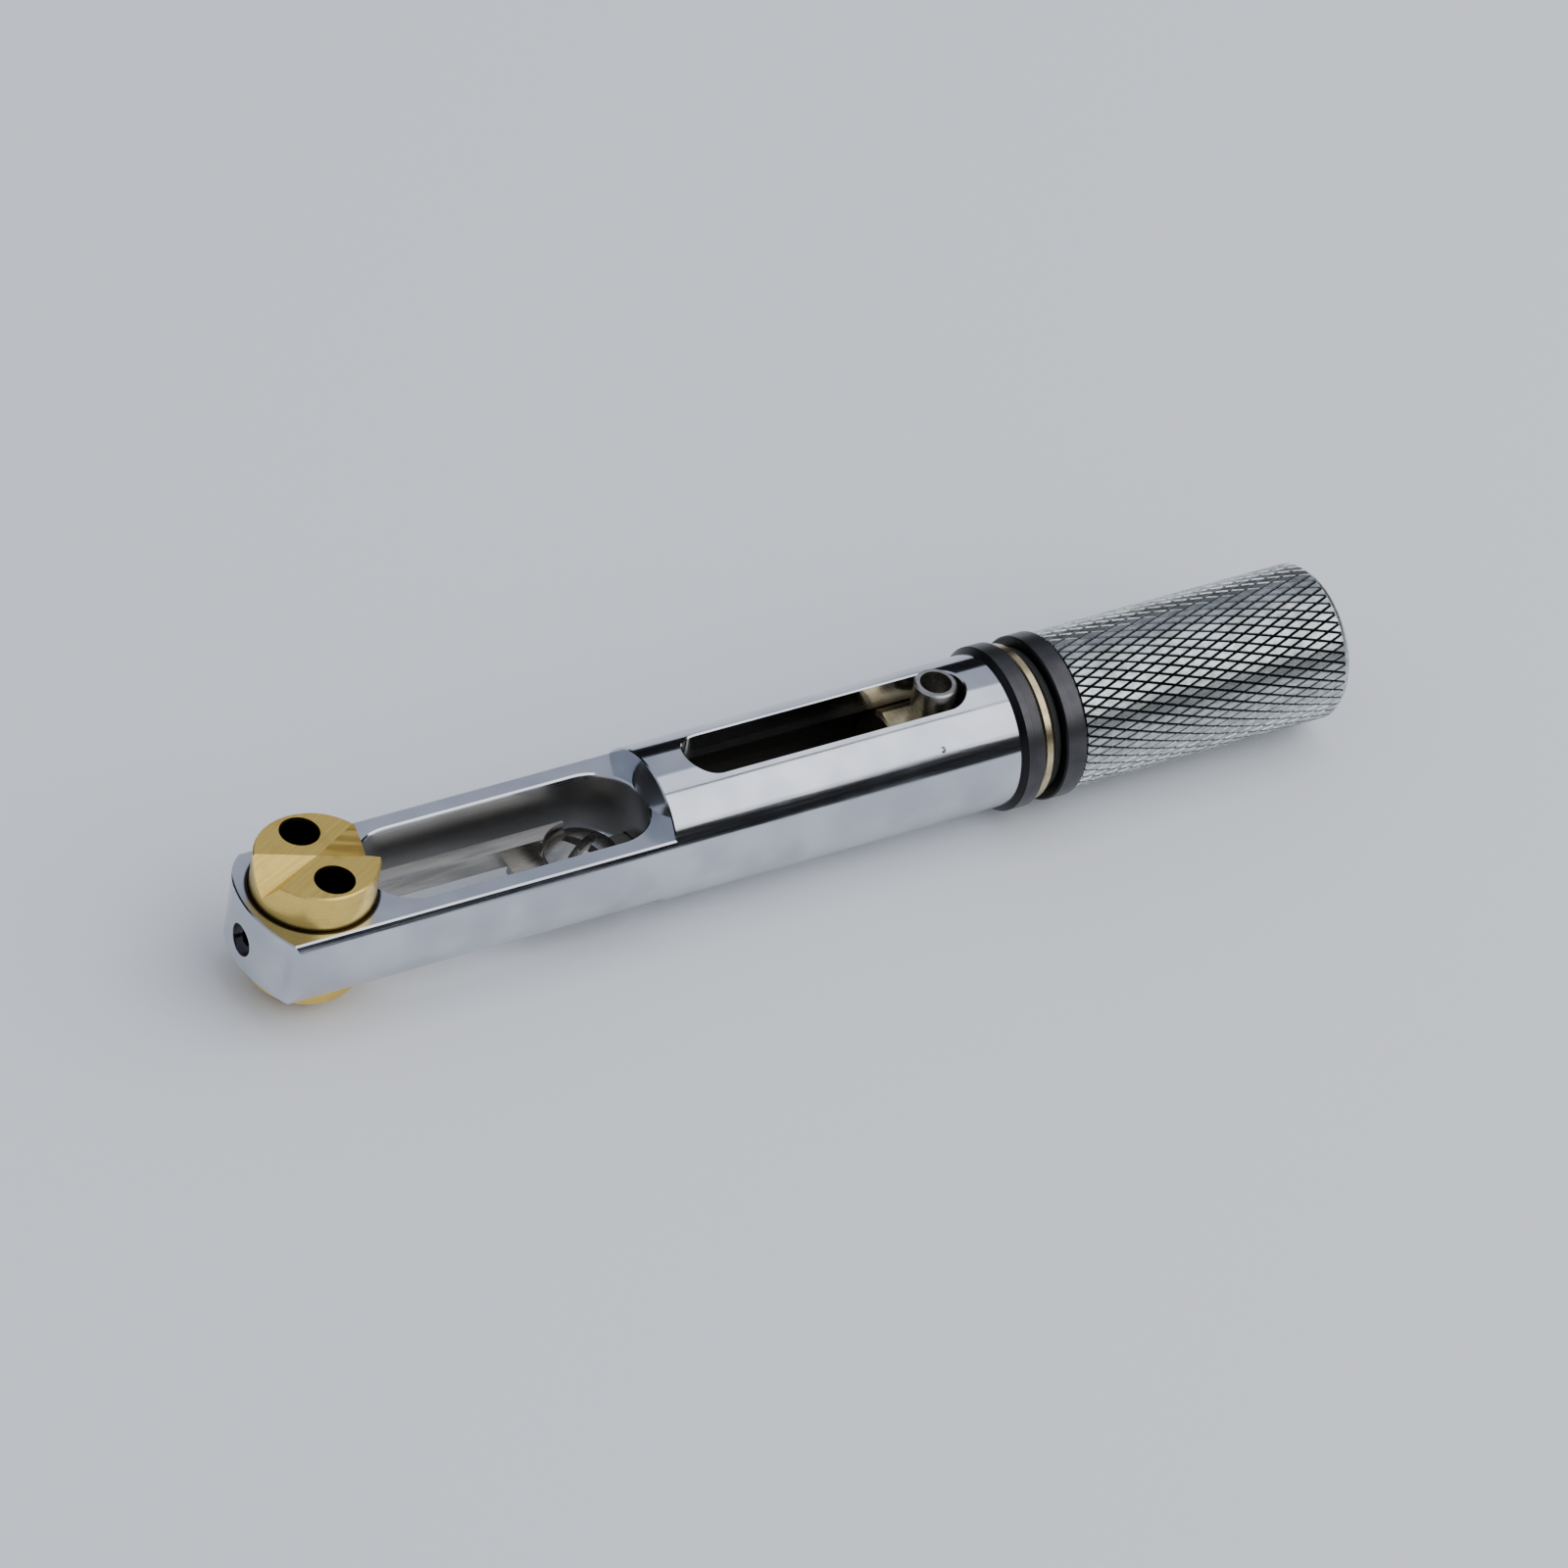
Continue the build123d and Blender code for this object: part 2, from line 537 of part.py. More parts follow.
with BuildPart() as drive_nut:
    revolve(ring_profile(NUT_FRONT_X, NUT_REAR_X, THREAD_HOLE_R, NUT_R, NUT_EDGE), axis=Axis.X)
    nut_mid_x, nut_length = (NUT_FRONT_X + NUT_REAR_X) / 2, NUT_REAR_X - NUT_FRONT_X
    for flat_z in (NUT_TOP + NUT_CUT / 2, LINK_BOTTOM - NUT_CUT / 2):
        with Locations((nut_mid_x, 0, flat_z)):
            Box(nut_length, 2 * NUT_R, NUT_CUT, mode=Mode.SUBTRACT)
    with BuildSketch(Plane.XY.offset(GUIDE_FOOT)):
        with Locations((GUIDE_X, 0)):
            Circle(GUIDE_R)
    extrude(amount=NUT_TOP, mode=Mode.SUBTRACT)
    with BuildSketch(Plane.XY.offset(LINK_BOTTOM)):
        with Locations(*[(x, y) for x in RIVET_XS for y in (-RIVET_Y, RIVET_Y)]):
            Circle(RIVET_R)
    extrude(amount=RIVET_LENGTH - STRIP_T, mode=Mode.SUBTRACT)
save(drive_nut, "drive_nut")

with BuildPart() as guide_pin:
    with BuildSketch(Plane.XY.offset(GUIDE_FOOT)):
        with Locations((GUIDE_X, 0)):
            Circle(GUIDE_R)
    extrude(amount=GUIDE_TOP - GUIDE_FOOT)
    with BuildSketch(Plane.XY.offset(GUIDE_TOP)):
        with Locations((GUIDE_X, 0)):
            Circle(GUIDE_BORE_R)
    extrude(amount=-GUIDE_BORE_DEPTH, mode=Mode.SUBTRACT)
    chamfer(guide_pin.edges().group_by(Axis.Z)[-1].sort_by(SortBy.LENGTH)[-1:], EDGE)
save(guide_pin, "guide_pin")

# ---------------------------------------------------------------- turning handle
with BuildPart() as spindle:
    outline = [(THREAD_TIP_X, 0), (THREAD_TIP_X, THREAD_R - THREAD_POINT)]
    outline += [(THREAD_TIP_X + THREAD_POINT, THREAD_R)]
    outline += [(THRUST_X - FLANGE_T, THREAD_R), (THRUST_X - FLANGE_T, FLANGE_R)]
    outline += [(THRUST_X, FLANGE_R), (THRUST_X, JOURNAL_R), (REAR_COLLAR_X, JOURNAL_R)]
    outline += [(REAR_COLLAR_X, SHANK_R), (SHANK_END_X - SHANK_POINT, SHANK_R)]
    outline += [(SHANK_END_X, SHANK_R - SHANK_POINT), (SHANK_END_X, 0)]
    revolve(half_profile(outline), axis=Axis.X)
    with BuildSketch(Plane.XZ):
        with Locations((DOWEL_X, 0)):
            Circle(DOWEL_R)
    extrude(amount=SLEEVE_BORE_R, both=True, mode=Mode.SUBTRACT)
save(spindle, "spindle")

with BuildPart() as thrust_washer:
    revolve(ring_profile(THRUST_X, SPIGOT_X, BUSH_BORE_R, FLANGE_R + FLANGE_LIP), axis=Axis.X)
save(thrust_washer, "thrust_washer")

with BuildPart() as friction_ring:
    faces = (RING_X + FRICTION_GAP, REAR_COLLAR_X)
    revolve(ring_profile(*faces, JOURNAL_R, FRICTION_R, FRICTION_EDGE), axis=Axis.X)
save(friction_ring, "friction_ring")

with BuildPart() as rear_collar:
    outline = [(REAR_COLLAR_X, SHANK_R), (REAR_COLLAR_X, COLLAR_R - EDGE)]
    outline += [(REAR_COLLAR_X + EDGE, COLLAR_R), (SLEEVE_X - EDGE, COLLAR_R)]
    outline += [(SLEEVE_X, COLLAR_R - EDGE), (SLEEVE_X, SLEEVE_BORE_R)]
    outline += [(CORE_X, SLEEVE_BORE_R), (CORE_X, SHANK_R)]
    revolve(half_profile(outline), axis=Axis.X)
save(rear_collar, "rear_collar")

with BuildPart() as handle_core:
    revolve(ring_profile(CORE_X, CORE_REAR_X, SHANK_R, SLEEVE_BORE_R), axis=Axis.X)
    with BuildSketch(Plane.XZ):
        with Locations((DOWEL_X, 0)):
            Circle(DOWEL_R)
    extrude(amount=SLEEVE_BORE_R, both=True, mode=Mode.SUBTRACT)
save(handle_core, "handle_core")

with BuildPart() as core_dowel:
    with BuildSketch(Plane.XZ):
        with Locations((DOWEL_X, 0)):
            Circle(DOWEL_R)
    extrude(amount=SLEEVE_BORE_R - DOWEL_INSET, both=True)
save(core_dowel, "core_dowel")

with BuildPart() as handle_sleeve:
    with BuildSketch(Plane.XZ):
        with BuildLine():
            round_mid = END_ROUND * (1 - sqrt(0.5))
            Polyline(
                (END_X, HANDLE_R - END_ROUND),
                (END_X, SLEEVE_BORE_R),
                (SLEEVE_X, SLEEVE_BORE_R),
                (SLEEVE_X, HANDLE_R - EDGE),
                (SLEEVE_X + EDGE, HANDLE_R),
                (END_X - END_ROUND, HANDLE_R),
            )
            ThreePointArc(
                (END_X - END_ROUND, HANDLE_R),
                (END_X - round_mid, HANDLE_R - round_mid),
                (END_X, HANDLE_R - END_ROUND),
            )
        make_face()
    revolve(axis=Axis.X)
save(handle_sleeve, "handle_sleeve")

with BuildPart() as lock_washer:
    washer = (CORE_REAR_X, CORE_REAR_X + WASHER_T, SHANK_R, WASHER_R)
    revolve(ring_profile(*washer), axis=Axis.X)
save(lock_washer, "lock_washer")

with BuildPart() as lock_nut:
    with BuildSketch(Plane.YZ.offset(CORE_REAR_X + WASHER_T)):
        RegularPolygon(LOCK_NUT_FLATS / 2, 6, major_radius=False)
        Circle(SHANK_R, mode=Mode.SUBTRACT)
    extrude(amount=LOCK_NUT_T)
save(lock_nut, "lock_nut")

with BuildPart() as end_plug:
    revolve(ring_profile(PLUG_X, END_X - PLUG_INSET, 0, SLEEVE_BORE_R, PLUG_EDGE), axis=Axis.X)
    with Locations((END_X - PLUG_INSET, 0, 0)):
        Box(2 * PLUG_SLOT_DEPTH, 2 * SLEEVE_BORE_R, PLUG_SLOT_W, mode=Mode.SUBTRACT)
save(end_plug, "end_plug")
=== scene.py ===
"""Studio scene of a screw-operated hand tool with a rotating brass head.

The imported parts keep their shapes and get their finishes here. The knurled handle
sleeve is modelled in full, and replaces its plain solid.
Metres throughout. +X runs along the tool to the handle's end, and +Z is up.
"""

import json
import logging
from collections.abc import Callable
from dataclasses import dataclass
from enum import Enum
from math import cos, pi, radians, sin

import bpy
from mathutils import Matrix, Vector


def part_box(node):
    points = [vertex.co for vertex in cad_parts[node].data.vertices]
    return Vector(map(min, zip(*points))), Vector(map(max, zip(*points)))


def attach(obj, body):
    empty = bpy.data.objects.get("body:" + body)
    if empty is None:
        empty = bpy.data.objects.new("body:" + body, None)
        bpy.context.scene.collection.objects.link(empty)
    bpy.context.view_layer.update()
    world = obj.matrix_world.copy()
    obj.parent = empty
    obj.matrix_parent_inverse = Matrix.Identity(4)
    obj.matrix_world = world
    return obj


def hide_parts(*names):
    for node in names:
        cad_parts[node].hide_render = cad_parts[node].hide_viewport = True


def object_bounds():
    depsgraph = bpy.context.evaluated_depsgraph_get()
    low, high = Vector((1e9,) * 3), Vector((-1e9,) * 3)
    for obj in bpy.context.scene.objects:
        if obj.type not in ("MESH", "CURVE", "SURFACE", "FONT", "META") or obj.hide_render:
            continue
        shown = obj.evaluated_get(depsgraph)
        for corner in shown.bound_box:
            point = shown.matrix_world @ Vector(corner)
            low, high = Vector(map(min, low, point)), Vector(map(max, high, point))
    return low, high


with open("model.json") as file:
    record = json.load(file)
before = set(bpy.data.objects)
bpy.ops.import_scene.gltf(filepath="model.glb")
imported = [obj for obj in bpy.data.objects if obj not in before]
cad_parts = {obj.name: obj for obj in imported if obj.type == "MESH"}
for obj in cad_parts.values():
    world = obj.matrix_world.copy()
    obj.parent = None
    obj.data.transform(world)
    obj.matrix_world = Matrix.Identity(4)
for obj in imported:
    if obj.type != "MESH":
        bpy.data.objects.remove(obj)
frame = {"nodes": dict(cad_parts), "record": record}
CAD_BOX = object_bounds()

logging.basicConfig(level=logging.INFO, format="%(name)s: %(message)s")
LOG = logging.getLogger("hand_tool")

MM = 0.001
TINY = 1e-7  # two points this close are one

# places on the tool that finishes and pieces share
BODY_LOW, BODY_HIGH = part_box("body")
HEAD_LOW, HEAD_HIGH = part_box("head_rotor")
SLEEVE_LOW, SLEEVE_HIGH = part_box("handle_sleeve")
HEAD_X = (HEAD_LOW.x + HEAD_HIGH.x) / 2
SLEEVE_ROUND = 0.62 * MM  # the round at the sleeve's end, past the knurl

# settings that many nodes share
ADD = {"operation": "ADD"}
SUBTRACT = {"operation": "SUBTRACT"}
MULTIPLY = {"operation": "MULTIPLY"}
LARGER = {"operation": "MAXIMUM"}
ABSOLUTE = {"operation": "ABSOLUTE"}
LENGTH = {"operation": "LENGTH"}
EASED = {"interpolation_type": "SMOOTHSTEP"}
COLOUR = {"data_type": "RGBA"}


# ------------------------------------------------------------------ colours and nodes
def srgb(code: str) -> tuple[float, float, float, float]:
    """Turn an sRGB hex colour into the linear colour that a shader takes.

    Args:
        code: Six hex digits, red first.

    Returns:
        Linear red, green and blue, and an alpha of 1.
    """
    parts = [int(code[i : i + 2], 16) / 255 for i in (0, 2, 4)]
    linear = [c / 12.92 if c <= 0.04045 else ((c + 0.055) / 1.055) ** 2.4 for c in parts]
    return (*linear, 1.0)


Socket = bpy.types.NodeSocket
Value = float | tuple | Socket
Inputs = tuple[Value, ...] | dict[str | int, Value]


class Graph:
    """One material's node tree, starting from its Principled shader."""

    def __init__(self, name: str) -> None:
        """Make the material, and keep its shader and its object coordinates.

        Args:
            name: The material's name.
        """
        self.material = bpy.data.materials.new(name)
        self.material.use_nodes = True
        self.tree = self.material.node_tree
        self.shader = self.tree.nodes["Principled BSDF"]
        self.place = self.add("TexCoord", output="Object")
        self.facing = self.add("TexCoord", output="Normal")

    def feed(self, socket: Socket, value: Value) -> None:
        """Link an output to a socket, or set the socket to a plain value.

        Args:
            socket: The input to feed.
            value: The output to link, or the value to set.
        """
        if isinstance(value, Socket):
            self.tree.links.new(value, socket)
        else:
            socket.default_value = value

    def add(
        self, kind: str, inputs: Inputs = (), output: str | int = 0, **settings: str | float
    ) -> Socket:
        """Add a node with its settings, its values and its links.

        Args:
            kind: Blender's name for the type of node, after "ShaderNode".
            inputs: Values or outputs to link, in the node's own order, or by name or place.
            output: Which output of the node is wanted.
            settings: Properties of the node itself.

        Returns:
            The wanted output of the new node.
        """
        node = self.tree.nodes.new("ShaderNode" + kind)
        for key, setting in settings.items():
            setattr(node, key, setting)
        for key, value in inputs.items() if isinstance(inputs, dict) else enumerate(inputs):
            self.feed(node.inputs[key], value)
        return node.outputs[output]

    def grain(self, size: tuple[float, float, float], turn: float = 0.0, detail: float = 3.0) -> Socket:
        """Lay noise whose grains have this size along X, Y and Z.

        Args:
            size: Grain length in metres along each axis of the turned pattern.
            turn: Angle of the pattern about Z, in radians.
            detail: Octaves of finer noise.

        Returns:
            A value about 0.5.
        """
        scale = tuple(1 / s for s in size)
        turned = self.add("Mapping", {"Vector": self.place, "Rotation": (0, 0, -turn)})
        spread = self.add("Mapping", {"Vector": turned, "Scale": scale})
        return self.add("TexNoise", {"Vector": spread, "Scale": 1.0, "Detail": detail}, "Fac")

    def rings(self, pitch: float, depth_axis: str = "X") -> Socket:
        """Lay the uneven rings that a turning tool leaves along one axis.

        Args:
            pitch: The usual distance from ring to ring.
            depth_axis: X, Y or Z.

        Returns:
            A value about 0.5.
        """
        along = self.add("SeparateXYZ", (self.place,), depth_axis)
        line = self.add("Math", (along, 1 / pitch), **MULTIPLY)
        spot = self.add("CombineXYZ", (line,))
        return self.add("TexNoise", {"Vector": spot, "Scale": 1.0, "Detail": 2.0}, "Fac")

    def reach(self) -> Socket:
        """Measure how far each point is from the tool's long axis.

        Returns:
            The distance in metres.
        """
        across = self.add("SeparateXYZ", (self.place,), "Y")
        up = self.add("SeparateXYZ", (self.place,), "Z")
        flat = self.add("CombineXYZ", {"Y": across, "Z": up})
        return self.add("VectorMath", (flat,), "Value", **LENGTH)

    def finish(self, **links: Value) -> bpy.types.Material:
        """Set or link the shader's sockets.

        Args:
            links: Values or outputs by socket name, with _ for a space.

        Returns:
            The finished material.
        """
        for key, value in links.items():
            self.feed(self.shader.inputs[key.replace("_", " ")], value)
        return self.material


# ------------------------------------------------------------------ finishes
@dataclass(frozen=True)
class PolishedSteel:
    """Hardened tool steel, ground and mirror polished, then hand worn.

    The polish gives sharp reflections. Fine lines from the polishing run along the
    tool, and the milled and bored surfaces inside are duller and carry painted shade that darkens them.
    """

    name: str = "polished_tool_steel"
    light: str = "CFD2D8"
    shade: str = "B9BDC6"
    # painted shade: the colour of the recessed surfaces inside the tool
    inside: str = "807E7B"
    bore_shade: str = "2A2622"
    head_x: float = HEAD_X
    nose_x: float = BODY_LOW.x
    shoulder_x: float = -13.0 * MM
    barrel_radius: float = BODY_HIGH.z
    bore_radius: float = 3.75 * MM
    flat_height: float = 2.79 * MM
    bore_shade_radii: tuple[float, float] = (4.8 * MM, 5.0 * MM)
    barrel_skin: float = 0.4 * MM
    flat_skin: tuple[float, float] = (0.35 * MM, 0.15 * MM)
    behind_shoulder: tuple[float, float] = (0.2 * MM, 0.8 * MM)
    behind_nose: tuple[float, float] = (1.0 * MM, 1.4 * MM)
    polish_length: float = 9.0 * MM
    polish_pitch: float = 0.12 * MM
    polish_depth: float = 0.0012 * MM
    smudge: float = 5.0 * MM
    mill_pitch: float = 0.35 * MM
    mill_length: float = 6.0 * MM
    mill_share: float = 3.0
    polish_rough: tuple[float, float] = (0.085, 0.15)
    smudge_rough: float = 0.05
    flat_rough: float = 0.1
    inside_rough: float = 0.26

    def build(self) -> bpy.types.Material:
        """Lay the polish, the dull inside and the painted shade inside and round the head's bore.

        Returns:
            The finished material.
        """
        g = Graph(self.name)
        within = self.inside_mask(g)
        lines = g.grain((self.polish_length, self.polish_pitch, self.polish_pitch), detail=4)
        smudges = g.grain((self.smudge,) * 3, detail=2)
        mill = g.grain((self.mill_pitch, self.mill_pitch, self.mill_length), detail=2)

        tone = g.add("MapRange", (smudges, 0.3, 0.7), **EASED)
        colour = g.add("Mix", {0: tone, 6: srgb(self.light), 7: srgb(self.shade)}, 2, **COLOUR)
        # painted shade: the inside colour darkens the recessed surfaces inside the tool
        colour = g.add("Mix", {0: within, 6: colour, 7: srgb(self.inside)}, 2, **COLOUR)
        # painted shade round the head's bore, where the body meets the turning head
        colour = g.add("Mix", {0: self.bore_shade_mask(g), 6: colour, 7: srgb(self.bore_shade)}, 2, **COLOUR)

        rough = g.add("MapRange", (lines, 0.35, 0.75, *self.polish_rough), **EASED)
        smeared = g.add("MapRange", (smudges, 0.5, 0.8, 0, self.smudge_rough), **EASED)
        satin = g.add("Math", (self.flats_mask(g), self.flat_rough), **MULTIPLY)
        dull = g.add("Math", (within, self.inside_rough), **MULTIPLY)
        for layer in (smeared, satin, dull):
            rough = g.add("Math", (rough, layer), **ADD)

        marks = g.add("Math", (g.add("Math", (mill, lines), **SUBTRACT), within), **MULTIPLY)
        deeper = g.add("Math", (marks, self.mill_share), **MULTIPLY)
        height = g.add("Math", (lines, deeper), **ADD)
        bump = g.add("Bump", {"Height": height, "Distance": self.polish_depth})
        return g.finish(Base_Color=colour, Metallic=1.0, Roughness=rough, Normal=bump)

    def inside_mask(self, g: Graph) -> Socket:
        """Find the surfaces below the barrel's skin, and in the flat part those under the flats.

        Args:
            g: The material's node tree.

        Returns:
            1 inside, and 0 on the tool's outside and its nose.
        """
        along = g.add("SeparateXYZ", (g.place,), "X")
        height = g.add("Math", (g.add("SeparateXYZ", (g.place,), "Z"),), **ABSOLUTE)
        skin_radius = self.barrel_radius - self.barrel_skin
        deep = g.add("MapRange", (g.reach(), self.bore_radius, skin_radius, 1, 0), **EASED)
        low, high = (self.flat_height - depth for depth in self.flat_skin)
        under = g.add("MapRange", (height, low, high, 1, 0), **EASED)
        start, end = (self.shoulder_x + step for step in self.behind_shoulder)
        barrel = g.add("MapRange", (along, start, end), **EASED)
        start, end = (self.nose_x + step for step in self.behind_nose)
        behind = g.add("MapRange", (along, start, end), **EASED)
        in_flat = g.add("Math", (deep, under), **MULTIPLY)
        in_barrel = g.add("Math", (deep, barrel), **MULTIPLY)
        inner = g.add("Math", (in_flat, in_barrel), **LARGER)
        return g.add("Math", (inner, behind), **MULTIPLY)

    def flats_mask(self, g: Graph) -> Socket:
        """Find the two ground flats in front of the shoulder.

        Args:
            g: The material's node tree.

        Returns:
            1 on the flats, and 0 elsewhere.
        """
        along = g.add("SeparateXYZ", (g.place,), "X")
        upright = g.add("Math", (g.add("SeparateXYZ", (g.facing,), "Z"),), **ABSOLUTE)
        ground = g.add("MapRange", (upright, 0.98, 0.999), **EASED)
        front = g.add("MapRange", (along, self.shoulder_x - 0.1 * MM, self.shoulder_x, 1, 0), **EASED)
        return g.add("Math", (ground, front), **MULTIPLY)

    def bore_shade_mask(self, g: Graph) -> Socket:
        """Find the rim of the bore that the head turns in, where shade is painted.

        Args:
            g: The material's node tree.

        Returns:
            1 on the rim and inside it, and 0 elsewhere.
        """
        along = g.add("SeparateXYZ", (g.place,), "X")
        offset = g.add("Math", (along, self.head_x), **SUBTRACT)
        across = g.add("SeparateXYZ", (g.place,), "Y")
        flat = g.add("CombineXYZ", (offset, across))
        distance = g.add("VectorMath", (flat,), "Value", **LENGTH)
        return g.add("MapRange", (distance, *self.bore_shade_radii, 1, 0), **EASED)


@dataclass(frozen=True)
class MachinedSteel:
    """Plain carbon steel, milled or turned, with an oiled grey surface.

    Cutter lines run along the piece and spread the reflections sideways.
    """

    name: str = "machined_carbon_steel"
    light: str = "B4B1AC"
    shade: str = "92908C"
    line_length: float = 6.0 * MM
    line_pitch: float = 0.16 * MM
    line_depth: float = 0.003 * MM
    blotch: float = 0.7 * MM
    line_rough: tuple[float, float] = (0.26, 0.36)
    blotch_rough: float = 0.06

    def build(self) -> bpy.types.Material:
        """Lay cutter lines over long blotches.

        Returns:
            The finished material.
        """
        g = Graph(self.name)
        lines = g.grain((self.line_length, self.line_pitch, self.line_pitch), detail=3)
        blotches = g.grain((self.line_length, self.blotch, self.blotch), detail=3)
        tone = g.add("MapRange", (blotches, 0.35, 0.7), **EASED)
        colour = g.add("Mix", {0: tone, 6: srgb(self.light), 7: srgb(self.shade)}, 2, **COLOUR)
        cut = g.add("MapRange", (lines, 0.3, 0.7, *self.line_rough), **EASED)
        oiled = g.add("MapRange", (blotches, 0.5, 0.8, 0, self.blotch_rough), **EASED)
        rough = g.add("Math", (cut, oiled), **ADD)
        bump = g.add("Bump", {"Height": lines, "Distance": self.line_depth})
        return g.finish(Base_Color=colour, Metallic=1.0, Roughness=rough, Normal=bump)


@dataclass(frozen=True)
class BlackenedSteel:
    """Turned steel with a hot black oxide, and with painted shade on its end faces and slopes.

    The oxide is thin and grey where hands rub it, and the turning rings show through it.
    """

    name: str = "black_oxide_steel"
    light: str = "58575A"
    shade: str = "3F3E40"
    end_shade: str = "141414"
    ring_pitch: float = 0.09 * MM
    ring_depth: float = 0.004 * MM
    ring_share: float = 0.6
    blotch: float = 1.6 * MM
    end_shade_share: float = 0.8
    roughness: tuple[float, float] = (0.3, 0.4)

    def build(self) -> bpy.types.Material:
        """Lay turning rings and blotches, and paint shade on the ends and slopes.

        Returns:
            The finished material.
        """
        g = Graph(self.name)
        blotches = g.grain((self.blotch,) * 3, detail=4)
        rings = g.rings(self.ring_pitch)
        slope = g.add("Math", (g.add("SeparateXYZ", (g.facing,), "X"),), **ABSOLUTE)
        sloping = g.add("MapRange", (slope, 0.3, 0.5), **EASED)
        short_of_end = g.add("MapRange", (slope, 0.8, 0.95, 1, 0), **EASED)
        edge = g.add("Math", (sloping, short_of_end), **MULTIPLY)
        end = g.add("MapRange", (slope, 0.9, 1.0), **EASED)
        face = g.add("Math", (end, edge), **LARGER)
        ringed = g.add("Math", (rings, self.ring_share), **MULTIPLY)
        blotched = g.add("Math", (blotches, 1 - self.ring_share), **MULTIPLY)
        marks = g.add("Math", (ringed, blotched), **ADD)
        tone = g.add("MapRange", (marks, 0.3, 0.7), **EASED)
        colour = g.add("Mix", {0: tone, 6: srgb(self.light), 7: srgb(self.shade)}, 2, **COLOUR)
        # painted shade: the end faces and slopes are darkened
        dark = g.add("Math", (face, self.end_shade_share), **MULTIPLY)
        colour = g.add("Mix", {0: dark, 6: colour, 7: srgb(self.end_shade)}, 2, **COLOUR)
        rough = g.add("MapRange", (marks, 0.3, 0.7, *self.roughness), **EASED)
        bump = g.add("Bump", {"Height": rings, "Distance": self.ring_depth})
        return g.finish(Base_Color=colour, Metallic=0.9, Roughness=rough, Normal=bump)


@dataclass(frozen=True)
class KnurledSteel:
    """Stainless steel with a rolled diamond knurl, its tops rubbed bright.

    The grooves are painted dark with shade, and are dull between light tops.
    """

    name: str = "knurled_stainless_steel"
    top: str = "CDD2D2"
    top_dull: str = "A5A9A9"
    groove_shade: str = "2B2B2B"
    top_radius: float = SLEEVE_HIGH.z
    groove_radius: float = 5.77 * MM
    # painted shade climbs from the groove up the foot of each wall
    wall_shares: tuple[float, float] = (0.3, 0.18)  # dark at the foot, bright at the top
    knurl_end: float = SLEEVE_HIGH.x - SLEEVE_ROUND
    end_step: float = 0.08 * MM
    speck: float = 0.35 * MM
    speck_depth: float = 0.012 * MM
    speck_share: float = 0.6
    patch: float = 3.0 * MM
    wall_rough: tuple[float, float] = (0.6, 0.3)
    speck_rough: tuple[float, float] = (-0.03, 0.08)

    def build(self) -> bpy.types.Material:
        """Tell tops from grooves by their distance from the axis, and speckle them.

        Returns:
            The finished material.
        """
        g = Graph(self.name)
        specks = g.grain((self.speck * 2, self.speck, self.speck), detail=4)
        patches = g.grain((self.patch,) * 3, detail=2)
        depth = self.top_radius - self.groove_radius
        foot, brow = (share * depth for share in self.wall_shares)
        wall = (g.reach(), self.groove_radius + foot, self.top_radius - brow)
        level = g.add("MapRange", wall, **EASED)
        along = g.add("SeparateXYZ", (g.place,), "X")
        past = g.add("MapRange", (along, self.knurl_end - self.end_step, self.knurl_end), **EASED)
        level = g.add("Math", (level, past), **LARGER)
        specked = g.add("Math", (specks, self.speck_share), **MULTIPLY)
        patched = g.add("Math", (patches, 1 - self.speck_share), **MULTIPLY)
        dull = g.add("MapRange", (g.add("Math", (specked, patched), **ADD), 0.4, 0.62), **EASED)
        tops = g.add("Mix", {0: dull, 6: srgb(self.top), 7: srgb(self.top_dull)}, 2, **COLOUR)
        # painted shade: the grooves get the dark colour, the tops their own colours
        colour = g.add("Mix", {0: level, 6: srgb(self.groove_shade), 7: tops}, 2, **COLOUR)
        rubbed = g.add("MapRange", (level, 0, 1, *self.wall_rough), **EASED)
        pitted = g.add("MapRange", (specks, 0.4, 0.7, *self.speck_rough), **EASED)
        rough = g.add("Math", (rubbed, pitted), **ADD)
        bump = g.add("Bump", {"Height": specks, "Distance": self.speck_depth})
        return g.finish(Base_Color=colour, Metallic=1.0, Roughness=rough, Normal=bump)


